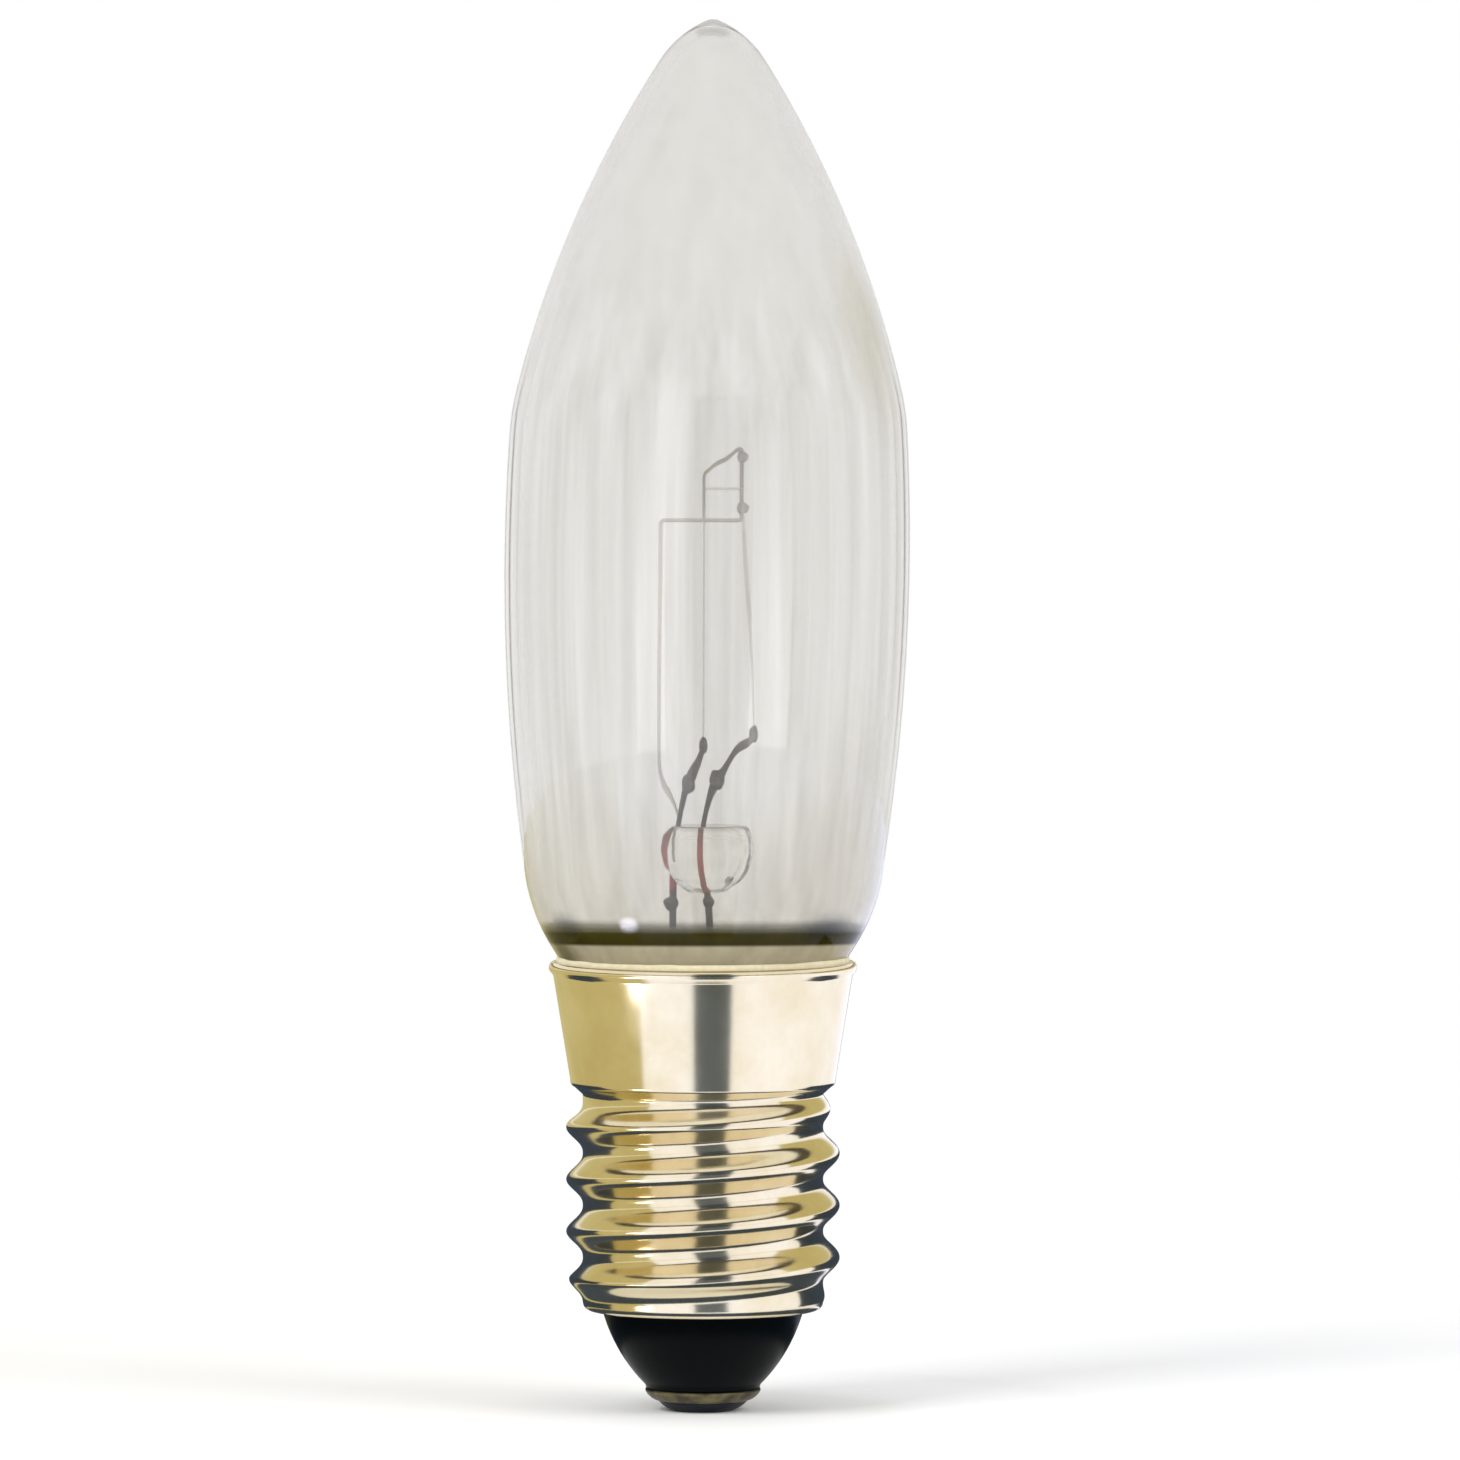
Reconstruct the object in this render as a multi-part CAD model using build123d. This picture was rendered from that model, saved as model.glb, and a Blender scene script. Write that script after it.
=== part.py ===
from build123d import *
from math import cos, pi, radians, sin
import os

# Candle lamp with a ribbed clear envelope on an E10 screw cap.
# Sizes are in millimetres. Z runs up the lamp's axis from the face of the centre contact.

# Screw shell
thread_major_dia = 9.5
thread_minor_dia = 8.35
thread_pitch = 1.814
thread_length = 7.9        # lower edge of the shell to the foot of the skirt
thread_fade = 0.9          # height over which the thread dies away at each end
thread_steps = 5           # sections for each turn of the thread
shell_wall = 0.25
shell_mouth_dia = 7.0      # hole in the shell's floor, filled by the insulator
shell_corner = 0.25        # bevel of the shell's lower edge
skirt_foot_dia = 9.2
skirt_step = 0.4           # height of the step from the skirt's foot down to the thread
skirt_height = 4.2
rim_dia = 10.7
slot_width = 0.5           # slot in the rim that the side lead comes out of

# Insulator and centre contact
nose_height = 3.5          # contact face to the lower edge of the shell
nose_foot_dia = 4.0
nose_bulge = 0.2
insulator_depth = 3.0      # height of the insulator inside the shell
eyelet_rise = 0.75         # contact face to the seat of the eyelet's flange
eyelet_flange = 0.4
eyelet_shank_dia = 1.2
eyelet_shank_height = 1.6
eyelet_bore_dia = 0.7
contact_dia = 2.5          # flat face of the contact solder
contact_edge = 0.3         # width of the solder's sloping edge
lead_dip = 0.15            # depth of the lead's end in the solder

# Glass envelope; diameters are taken between the ribs
glass_wall = 0.5
foot_dia = 4.4             # flat of the fused foot, inside the cap
foot_drop = 3.0            # foot below the rim
foot_thickness = 1.3
foot_bulge = 0.5
neck_dia = 9.8             # where the glass passes the rim
heel_dia = 12.54
heel_height = 3.54         # above the rim
heel_bulge = 0.28
shoulder_dia = 13.7
body_height = 15.56        # heel to shoulder
body_bulge = 0.42
crown_dia = 3.64
crown_height = 12.15       # shoulder to crown
crown_bulge = 0.58
tip_dia = 1.32             # root of the sealed-off tip
dome_height = 1.13         # crown to the root of the tip
dome_bulge = 0.14
tip_rise = 0.32
tip_flat_dia = 0.4
tip_wall = 0.9
glass_lean = 0.35          # sideways, at the tip: the glass stands a little askew in the cap
rib_count = 48
rib_height = 0.06
rib_start = 0.5            # share of the heel's arc that is plain
rib_end = 0.2              # share of the crown's arc over which the ribs die away
bore_sides = 48            # flats round the inside

# Bead, leads, support and filament
bead_dia = 3.1
bead_end_dia = 2.7
bead_height = 2.3
bead_bevel = 0.5           # height of the slope at each end
bead_rise = 3.6            # middle of the bead above the rim
bead_offset = 0.15
lead_dia = 0.3
lead_clearance = 0.05
lead_gap = 1.0             # between the two leads in the bead
lead_offset = -0.55        # middle of the two leads in the bead
lead_depth = 0.3           # of each lead before or behind the axis
wire_sides = 12            # flats of a wire's section, true to a hundredth of a millimetre
knot_dia = 0.6
knot_height = 0.8
knot_bevel = 0.05          # lead's edge to the knot's edge, at each end
knot_rise = 2.55           # bead's middle to the left knot, as are the rises below
knot_shift = 0.54          # sideways from the bead to the knot
knot_stagger = 0.2         # right knot above the left one
clamp_dia = 0.56
clamp_height = 0.7
clamp_grip = 0.5           # length of filament held in a clamp
clamp_rise = 3.9
clamp_gap = 1.73
clamp_stagger = 0.4        # right clamp above the left one
support_dia = 0.2
support_depth = 0.75       # of the support behind the axis
support_reach = 1.5        # to the left, at its knee
support_knee = 3.3
loop_rise = 11.7
loop_reach = 1.4           # half width of the loop
loop_height = 2.5
filament_dia = 0.16
arch_rise = 12.8           # top of the filament, inside the loop
side_lead_angle = 120      # where the side lead meets the rim, from +X
side_lead_drop = 0.5       # depth below the glass foot at which it turns outwards
rim_solder_dia = 1.5
rim_solder_height = 0.45   # of the solder's cap above the skirt

# Cement between the glass and the skirt
cement_depth = 2.6         # below the rim
cement_lip = 0.2           # above the rim

# Heights along the axis
shell_z = nose_height
skirt_z = shell_z + thread_length
rim_z = skirt_z + skirt_height
foot_z = rim_z - foot_drop
heel_z = rim_z + heel_height
shoulder_z = heel_z + body_height
crown_z = shoulder_z + crown_height
tip_z = crown_z + dome_height
bead_z = rim_z + bead_rise

# Radii that several pieces share
root = thread_minor_dia / 2
crest = thread_major_dia / 2
bore = root - shell_wall
mouth = shell_mouth_dia / 2
skirt_foot = skirt_foot_dia / 2
rim = rim_dia / 2


def turned(*outline):
    """Solid of revolution about Z from a closed outline of (radius, height) edges."""
    edges = [edge for piece in outline for edge in piece.edges()]
    return revolve(Plane.XZ * make_face(edges), Axis.Z)


def round_wire(points, diameter):
    """Round wire along straight runs that meet in mitred bends."""
    path = Polyline(*points)
    section = RegularPolygon(diameter / 2, wire_sides)
    return sweep(Plane(path @ 0, z_dir=path % 0) * section, path=path, transition=Transition.RIGHT)


def on_side(radius, height):
    """Point in the half-plane of the side lead."""
    angle = radians(side_lead_angle)
    return (radius * cos(angle), radius * sin(angle), height)


def skirt_radius(height):
    """Outer radius of the skirt at a height."""
    return skirt_foot + (rim - skirt_foot) * (height - skirt_z) / skirt_height


# Envelope outline, from the foot to the tip
def glass_arcs(inset):
    """Foot, heel, body and crown arcs of the glass, moved inwards by an inset."""
    foot = foot_dia / 2 + inset
    foot_level = foot_z + (foot_thickness if inset else 0)
    neck_point = (neck_dia / 2 - inset, rim_z)
    heel_point = (heel_dia / 2 - inset, heel_z)
    shoulder_point = (shoulder_dia / 2 - inset, shoulder_z)
    crown_point = (crown_dia / 2 - inset, crown_z)
    return (
        SagittaArc((foot, foot_level), neck_point, -foot_bulge * (foot_drop - foot_level + foot_z) / foot_drop),
        SagittaArc(neck_point, heel_point, -heel_bulge),
        SagittaArc(heel_point, shoulder_point, -body_bulge),
        SagittaArc(shoulder_point, crown_point, -crown_bulge),
    )


foot_arc, heel_arc, body_arc, crown_arc = glass_arcs(0)
dome_arc = SagittaArc((crown_dia / 2, crown_z), (tip_dia / 2, tip_z), -dome_bulge)


def along(arc, start, end, steps):
    """Points at even steps along a stretch of an arc, without its last point."""
    return [arc @ (start + (end - start) * i / steps) for i in range(steps)]


def glass_ring(station, sides, rib=0):
    """Corners of a ring of the glass, every second one raised by a rib."""
    centre = Vector(glass_lean * (station.Y - rim_z) / (tip_z - rim_z), 0, station.Y)
    corners = []
    for i in range(sides):
        angle = 2 * pi * i / sides
        radius = station.X + rib * (i % 2)
        corners.append(centre + Vector(radius * cos(angle), radius * sin(angle)))
    return corners


def faceted(rings):
    """Solid of flat facets between rings that have as many corners."""
    facets = [Face(Wire.make_polygon(ring)) for ring in (rings[0], rings[-1])]
    for low, high in zip(rings, rings[1:]):
        for i in range(len(low)):
            facets.append(Face(Wire.make_polygon([low[i - 1], low[i], high[i - 1]])))
            facets.append(Face(Wire.make_polygon([low[i], high[i], high[i - 1]])))
    return Solid(Shell(facets))


def glass_outside():
    """Outer form: the ribs rise over the heel and die away above the shoulder."""
    low_z = (heel_arc @ rib_start).Y
    high_z = (crown_arc @ rib_end).Y
    stations = [
        *along(foot_arc, 0, 1, 2),
        *along(heel_arc, 0, rib_start, 1),
        *along(heel_arc, rib_start, 1, 1),
        *along(body_arc, 0, 1, 3),
        *along(crown_arc, 0, rib_end, 2),
        *along(crown_arc, rib_end, 1, 3),
        *along(dome_arc, 0, 1, 2),
        dome_arc @ 1,
        Vector(tip_flat_dia / 2, tip_z + tip_rise),
    ]
    rings = []
    for station in stations:
        rise = (station.Y - low_z) / (heel_z - low_z)
        fall = (high_z - station.Y) / (high_z - shoulder_z)
        rings.append(glass_ring(station, 2 * rib_count, rib_height * max(0, min(1, rise, fall))))
    return faceted(rings)


def glass_inside():
    """Plain inner form of the envelope."""
    foot, heel, body, crown = glass_arcs(glass_wall)
    stations = [
        foot @ 0,
        *along(heel, 0, 1, 2),
        *along(body, 0, 1, 3),
        *along(crown, 0, 1, 3),
        crown @ 1,
        Vector(tip_dia / 2, tip_z + tip_rise - tip_wall),
    ]
    return faceted([glass_ring(station, bore_sides) for station in stations])


def make_thread(low, high):
    """Right-hand rolled thread: circles that run round the axis a little off centre, more so away from the ends."""
    swing = (crest - root) / 2
    count = round((high - low) / thread_pitch * thread_steps)
    sections = []
    for i in range(count + 1):
        height = low + (high - low) * i / count
        offset = swing * min(1, (height - low) / thread_fade, (high - height) / thread_fade)
        angle = 2 * pi * (height - shell_z) / thread_pitch
        centre = Pos(offset * cos(angle), offset * sin(angle), height)
        sections.append(centre * Circle(root + offset))
    return loft(sections, ruled=True)


def skirt_inside(low, high):
    """Space inside the skirt between two heights."""
    low_radius = skirt_radius(low) - shell_wall
    high_radius = skirt_radius(high) - shell_wall
    return turned(Polyline((0, low), (low_radius, low), (high_radius, high), (0, high), (0, low)))


# Route of the side lead between the glass foot and the rim
slot_point = foot_arc @ 0.72
slot_radius = slot_point.X + lead_dia / 2 + lead_clearance
exit_z = (slot_point.Y + rim_z) / 2
turn_radius = skirt_foot - shell_wall - lead_dia - lead_clearance


def make_screw_shell():
    step_z = skirt_z - skirt_step
    floor_z = shell_z + shell_wall
    corner_z = shell_z + shell_corner
    lip = turned(Polyline(
        (0, shell_z), (root - shell_corner, shell_z), (root, corner_z), (0, corner_z), (0, shell_z),
    ))
    skirt = turned(Polyline(
        (0, step_z), (root, step_z), (skirt_foot, skirt_z), (rim, rim_z), (0, rim_z), (0, step_z),
    ))
    inside = turned(Polyline(
        (0, shell_z), (mouth, shell_z), (mouth, floor_z), (bore, floor_z), (bore, step_z),
        (skirt_foot - shell_wall, skirt_z), (rim - shell_wall, rim_z), (0, rim_z), (0, shell_z),
    ))
    slot = Pos(0, 0, slot_point.Y - slot_width / 2) * Rot(0, 0, side_lead_angle) * Box(
        rim_dia, slot_width, skirt_height, align=(Align.MIN, Align.CENTER, Align.MIN)
    )
    return lip + make_thread(corner_z, step_z) + skirt - inside - slot


def make_insulator():
    seat_z = shell_z + shell_wall
    top_z = seat_z + insulator_depth
    hole = eyelet_shank_dia / 2
    nose = SagittaArc((nose_foot_dia / 2, eyelet_rise), (mouth, shell_z), -nose_bulge)
    return turned(Polyline(
        (hole, eyelet_rise), *along(nose, 0, 1, 3), (mouth, shell_z), (mouth, seat_z), (bore, seat_z),
        (bore, top_z), (hole, top_z), (hole, eyelet_rise),
    ))


def make_contact_eyelet():
    hole = eyelet_bore_dia / 2
    flange = nose_foot_dia / 2
    shank = eyelet_shank_dia / 2
    low_z = eyelet_rise - eyelet_flange
    top_z = eyelet_rise + eyelet_shank_height
    return turned(Polyline(
        (hole, low_z), (flange, low_z), (flange, eyelet_rise), (shank, eyelet_rise), (shank, top_z), (hole, top_z),
        (hole, low_z),
    ))


def make_contact_solder(wire):
    face = contact_dia / 2
    seat_z = eyelet_rise - eyelet_flange
    body = turned(Polyline((0, 0), (face, 0), (face + contact_edge, seat_z), (0, seat_z), (0, 0)))
    return body - wire


# Places of the leads: at the bead, at the weld knots and at the filament clamps
left_bead = (lead_offset - lead_gap / 2, lead_depth, bead_z)
right_bead = (lead_offset + lead_gap / 2, -lead_depth, bead_z)
left_knot = (left_bead[0] + knot_shift, lead_depth / 2, bead_z + knot_rise)
right_knot = (right_bead[0] + knot_shift, -lead_depth / 2, bead_z + knot_rise + knot_stagger)
left_clamp = (0, 0, bead_z + clamp_rise)
right_clamp = (clamp_gap, 0, bead_z + clamp_rise + clamp_stagger)


def make_seal_wire_left():
    turn_z = foot_z - side_lead_drop
    return round_wire(
        [
            left_knot,
            left_bead,
            (left_bead[0], 2 * lead_depth, turn_z),
            on_side(turn_radius, turn_z),
            on_side(slot_radius, slot_point.Y),
            on_side(skirt_radius(exit_z) + lead_dia, exit_z),
        ],
        lead_dia,
    )


def make_seal_wire_right():
    end_z = eyelet_rise - eyelet_flange - lead_dip
    turn_z = foot_z - 2 * side_lead_drop
    return round_wire([right_knot, right_bead, (lead_gap / 4, -lead_depth, turn_z), (0, 0, end_z)], lead_dia)


def make_support_wire():
    """Riser from the bead, then a square open loop round the filament."""
    loop_z = bead_z + loop_rise
    return round_wire(
        [
            (lead_offset, support_depth, bead_z),
            (-support_reach, support_depth, bead_z + support_knee),
            (-loop_reach, support_depth, loop_z),
            (loop_reach, support_depth / 2, loop_z),
            (loop_reach, support_depth / 4, loop_z + loop_height),
            (0, -support_depth, loop_z + loop_height * 2 / 3),
            (0, -support_depth, loop_z),
        ],
        support_dia,
    )


def make_filament():
    """Legs from the two clamps, joined at the top through the loop."""
    arch_z = bead_z + arch_rise
    sink = Vector(0, 0, clamp_height / 2 - clamp_grip)
    return round_wire(
        [Vector(left_clamp) + sink, (0, 0, arch_z), (loop_reach, 0, arch_z), Vector(right_clamp) + sink],
        filament_dia,
    )


def weld_knot():
    """Lump where two wires are welded end to end."""
    waist = RegularPolygon(knot_dia / 2, wire_sides)
    end = RegularPolygon(lead_dia / 2 + knot_bevel, wire_sides)
    half = knot_height / 2
    return loft([Pos(0, 0, -half) * end, waist, Pos(0, 0, half) * end], ruled=True)


def make_inner_lead(knot, clamp, seal_wire, filament):
    """Lead with the weld knot at its foot and the clamp that grips one end of the filament."""
    foot = Vector(clamp) - Vector(0, 0, clamp_height / 4)
    lead = round_wire([knot, foot], lead_dia)
    lead += Pos(*knot) * weld_knot()
    lead += Pos(*clamp) * extrude(RegularPolygon(clamp_dia / 2, wire_sides), clamp_height / 2, both=True)
    return lead - seal_wire - filament


def make_bead(wires):
    half = bead_height / 2
    end = bead_end_dia / 2
    middle = bead_dia / 2
    body = turned(Polyline(
        (0, -half), (end, -half), (middle, bead_bevel - half), (middle, half - bead_bevel), (end, half), (0, half),
        (0, -half),
    ))
    return Pos(bead_offset, 0, bead_z) * body - wires


def make_capping_cement(glass, side_lead):
    top_z = rim_z + cement_lip
    mouth_radius = rim - shell_wall
    lip = turned(Polyline((0, rim_z), (mouth_radius, rim_z), (mouth_radius, top_z), (0, top_z), (0, rim_z)))
    return skirt_inside(rim_z - cement_depth, rim_z) + lip - glass - side_lead


def make_rim_solder(shell, side_lead):
    """Low cap of solder over the slot, with its foot in the slot."""
    radius = rim_solder_dia / 2
    cap = turned(Polyline(
        (0, -shell_wall), (radius, -shell_wall), (radius, rim_solder_height / 3),
        (radius / 2, rim_solder_height), (0, rim_solder_height), (0, -shell_wall),
    ))
    outwards = Rot(0, 0, side_lead_angle) * Rot(0, 90, 0)
    blob = Pos(*on_side(skirt_radius(exit_z), exit_z)) * outwards * cap
    return blob - skirt_inside(skirt_z, rim_z + rim_solder_dia) - shell - side_lead


outside = glass_outside()
seal_left = make_seal_wire_left()
seal_right = make_seal_wire_right()
support = make_support_wire()
filament = make_filament()
shell = make_screw_shell()

nodes = {
    "envelope": outside - glass_inside() - seal_left - seal_right,
    "bead": make_bead([seal_left, seal_right, support]),
    "seal_wire_left": seal_left,
    "seal_wire_right": seal_right,
    "inner_lead_left": make_inner_lead(left_knot, left_clamp, seal_left, filament),
    "inner_lead_right": make_inner_lead(right_knot, right_clamp, seal_right, filament),
    "support_wire": support,
    "filament": filament,
    "screw_shell": shell,
    "insulator": make_insulator(),
    "contact_eyelet": make_contact_eyelet(),
    "contact_solder": make_contact_solder(seal_right),
    "capping_cement": make_capping_cement(outside, seal_left),
    "rim_solder": make_rim_solder(shell, seal_left),
}

os.makedirs("parts", exist_ok=True)
for name, solid in nodes.items():
    export_step(solid, f"parts/{name}.step")
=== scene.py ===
import bpy
import bmesh
from math import atan, atan2, cos, hypot, pi, radians, sin
from mathutils import Matrix, Vector, noise


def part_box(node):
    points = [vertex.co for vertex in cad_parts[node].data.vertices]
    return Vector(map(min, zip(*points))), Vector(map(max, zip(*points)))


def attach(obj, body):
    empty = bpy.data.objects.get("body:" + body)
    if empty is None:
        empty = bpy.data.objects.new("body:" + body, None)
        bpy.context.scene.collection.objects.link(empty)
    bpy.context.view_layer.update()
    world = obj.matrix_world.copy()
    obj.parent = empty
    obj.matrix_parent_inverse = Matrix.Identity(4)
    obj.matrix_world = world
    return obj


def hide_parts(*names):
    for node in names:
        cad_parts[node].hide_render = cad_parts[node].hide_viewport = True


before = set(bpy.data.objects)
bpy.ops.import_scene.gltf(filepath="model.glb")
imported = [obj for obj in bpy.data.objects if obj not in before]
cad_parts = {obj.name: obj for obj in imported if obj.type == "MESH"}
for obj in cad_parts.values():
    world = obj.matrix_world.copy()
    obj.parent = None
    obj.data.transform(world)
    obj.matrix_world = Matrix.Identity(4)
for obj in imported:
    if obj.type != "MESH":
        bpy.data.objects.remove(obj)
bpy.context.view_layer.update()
mm = 0.001
bpy.context.scene.view_settings.view_transform = "Standard"

# heights that the pieces share, read from the frame, in mm
shellLow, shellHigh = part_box("screw_shell")
shellZ, rimZ = shellLow.z / mm, shellHigh.z / mm
glassLow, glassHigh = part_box("envelope")
footZ, tipTopZ = glassLow.z / mm, glassHigh.z / mm
beadLow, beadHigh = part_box("bead")
beadZ = (beadLow.z + beadHigh.z) / 2 / mm
print("frame loaded, rim at", round(rimZ, 2), "mm")


def linear(hexColour, alpha=1.0):
    parts = [int(hexColour[i:i + 2], 16) / 255 for i in (1, 3, 5)]
    return tuple(p / 12.92 if p <= 0.04045 else ((p + 0.055) / 1.055) ** 2.4 for p in parts) + (alpha,)


def feed(tree, node, links):
    for key, source in links.items():
        tree.links.new(source, node.inputs[key])


# adds a node with its settings and links; stops are the (place, colour) pairs of a ramp
def addNode(tree, kind, settings=None, links=None):
    node = tree.nodes.new(kind)
    for key, value in (settings or {}).items():
        if key == "stops":
            bar = node.color_ramp.elements
            bar[0].position, bar[1].position = value[0][0], value[-1][0]
            bar[0].color, bar[1].color = linear(value[0][1]), linear(value[-1][1])
            for spot, colour in value[1:-1]:
                bar.new(spot).color = linear(colour)
        elif isinstance(key, int) or key in node.inputs.keys():
            node.inputs[key].default_value = value
        else:
            setattr(node, key, value)
    feed(tree, node, links or {})
    return node


def startMaterial(name, **sockets):
    material = bpy.data.materials.new(name)
    material.use_nodes = True
    tree = material.node_tree
    shader = tree.nodes["Principled BSDF"]
    for key, value in sockets.items():
        shader.inputs[key.replace("_", " ")].default_value = value
    place = addNode(tree, "ShaderNodeTexCoord").outputs["Object"]
    return material, tree, shader, place


def makeObject(name, bm, material):
    mesh = bpy.data.meshes.new(name)
    bm.to_mesh(mesh)
    bm.free()
    mesh.materials.append(material)
    made = bpy.data.objects.new(name, mesh)
    bpy.context.scene.collection.objects.link(made)
    return made


def makePiece(name, bm, material, node, smooth=True):
    for face in bm.faces:
        face.smooth = smooth
    piece = makeObject(name, bm, material)
    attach(piece, "root")
    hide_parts(node)
    print(name, len(piece.data.polygons), "faces")


# points of an arc between two (radius, height) points, bulging outwards
def arcPoints(start, end, bulge, count):
    start, end = Vector(start), Vector(end)
    chord = end - start
    along = chord.normalized()
    out = Vector((along.y, -along.x))
    half = 2 * atan(2 * bulge / chord.length)
    radius = chord.length / 2 / sin(half)
    centre = (start + end) / 2 - out * (radius - bulge)
    turns = [half * (2 * i / count - 1) for i in range(count + 1)]
    return [centre + (out * cos(t) + along * sin(t)) * radius for t in turns]


# turns a (radius, height) outline in mm all the way round the axis
def spinOutline(bm, outline, steps, closed=False):
    verts = [bm.verts.new((r * mm, 0, z * mm)) for r, z in outline]
    pairs = list(zip(verts, verts[1:])) + ([(verts[-1], verts[0])] if closed else [])
    edges = [bm.edges.new(pair) for pair in pairs]
    bmesh.ops.spin(bm, geom=verts + edges, cent=(0, 0, 0), axis=(0, 0, 1), angle=2 * pi, steps=steps,
                   use_merge=True)
    bmesh.ops.remove_doubles(bm, verts=bm.verts, dist=1e-7)
    bmesh.ops.recalc_face_normals(bm, faces=bm.faces)


def turnedMesh(outline, steps, closed=False):
    bm = bmesh.new()
    spinOutline(bm, outline, steps, closed)
    return bm


def moveRadially(vert, amount):
    radius = hypot(vert.co.x, vert.co.y)
    if radius > 1e-6:
        grow = 1 + amount * mm / radius
        vert.co.x *= grow
        vert.co.y *= grow


# round wire along a smooth route in mm
def drawWire(bm, route, diameter):
    curve = bpy.data.curves.new("route", "CURVE")
    curve.dimensions = "3D"
    curve.bevel_depth = diameter / 2 * mm
    curve.bevel_resolution = 3
    curve.use_fill_caps = True
    curve.resolution_u = 10
    spline = curve.splines.new("NURBS")
    spline.points.add(len(route) - 1)
    for point, (x, y, z) in zip(spline.points, route):
        point.co = (x * mm, y * mm, z * mm, 1)
    spline.order_u = 3
    spline.use_endpoint_u = True
    holder = bpy.data.objects.new("route", curve)
    bpy.context.scene.collection.objects.link(holder)
    seen = holder.evaluated_get(bpy.context.evaluated_depsgraph_get())
    mesh = bpy.data.meshes.new_from_object(seen)
    bm.from_mesh(mesh)
    bpy.data.objects.remove(holder)
    bpy.data.curves.remove(curve)
    bpy.data.meshes.remove(mesh)


# uneven lump of melted metal
def addLump(bm, place, size, uneven, seed):
    made = bmesh.ops.create_uvsphere(bm, u_segments=24, v_segments=16, radius=0.5)["verts"]
    for vert in made:
        push = noise.noise(vert.co * 3 + Vector((seed, 0, 0)))
        vert.co *= 1 + uneven * push
        vert.co = Vector([(c * s + p) * mm for c, s, p in zip(vert.co, size, place)])
    return made


glass = {
    "wall": 0.5, "footRadius": 2.2, "footEdge": 0.3, "footThickness": 1.3, "footBulge": 0.5, "neckRadius": 4.9,
    "heelRadius": 6.27, "heelHeight": 3.54, "heelBulge": 0.28, "shoulderRadius": 6.85, "bodyHeight": 15.56,
    "bodyBulge": 0.42, "crownRadius": 1.82, "crownHeight": 12.15, "crownBulge": 0.58, "domeBulge": 0.19,
    "innerDomeBulge": 0.152, "lean": 0.35, "softening": 2, "steps": 288, "footSteps": 10, "heelSteps": 12,
    "bodySteps": 36, "crownSteps": 30, "domeSteps": 14, "innerDomeSteps": 10,
    "ribCount": 48, "ribHeight": 0.011, "ribStart": 17.4, "ribEnd": 38.8, "ribRise": 3, "ribFall": 4.5,
    "ribMean": 0.75, "ribSpread": 0.5, "ribWander": 2.5, "ribDrift": 30,
    "streakWidth": 0.8, "streakLength": 30, "bandTilt": 0.045, "bandHeight": 6, "bandTop": 1.0, "clearFrom": 1.35,
    "sealLow": 0.42, "sealHigh": 0.28,
    "tintPatches": (
        {"place": (5.6, -2.6, 37.2), "size": 2.6, "squash": 0.5, "strength": 0.75, "colour": "#DDD8C4"},
        {"place": (-4.7, -3.2, 17.05), "size": 1.3, "squash": 2.0, "strength": 0.9, "colour": "#8A8EA2"},
        {"place": (4.3, -3.6, 17.0), "size": 1.7, "squash": 2.2, "strength": 0.9, "colour": "#7F8492"},
        {"place": (4.4, -4.2, 19.6), "size": 4.0, "squash": 0.6, "strength": 0.7, "colour": "#E6E2DA"},
        # olive patch by the neck: painted reflection of the cap, like the bands
        {"place": (-4.7, -1.9, 16.0), "size": 1.6, "squash": 1.0, "strength": 0.9, "colour": "#75704F"},
    ),
}


# outline of the glass from its foot to its crown, outside or one wall further in
def glassArcs(inset):
    g = glass
    heelZ = rimZ + g["heelHeight"]
    shoulderZ = heelZ + g["bodyHeight"]
    crownZ = shoulderZ + g["crownHeight"]
    foot = (g["footRadius"] + inset, footZ + (g["footThickness"] if inset else 0))
    neck, heel = (g["neckRadius"] - inset, rimZ), (g["heelRadius"] - inset, heelZ)
    shoulder, crown = (g["shoulderRadius"] - inset, shoulderZ), (g["crownRadius"] - inset, crownZ)
    footBulge = g["footBulge"] * (neck[1] - foot[1]) / (rimZ - footZ)
    return [
        *arcPoints(foot, neck, footBulge, g["footSteps"])[:-1],
        *arcPoints(neck, heel, g["heelBulge"], g["heelSteps"])[:-1],
        *arcPoints(heel, shoulder, g["bodyBulge"], g["bodySteps"])[:-1],
        *arcPoints(shoulder, crown, g["crownBulge"], g["crownSteps"]),
    ]


# rounds the corners of an outline a little
def softened(outline):
    for _ in range(glass["softening"]):
        inner = [(a + b * 2 + c) / 4 for a, b, c in zip(outline, outline[1:], outline[2:])]
        outline = [outline[0], *inner, outline[-1]]
    return outline


def ribFade(height):
    rise = (height - glass["ribStart"]) / glass["ribRise"]
    fall = (glass["ribEnd"] - height) / glass["ribFall"]
    return max(0, min(1, rise, fall))


def leanGlass(vert):
    share = (vert.co.z / mm - rimZ) / (tipTopZ - rimZ)
    vert.co.x += glass["lean"] * share * mm


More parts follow.
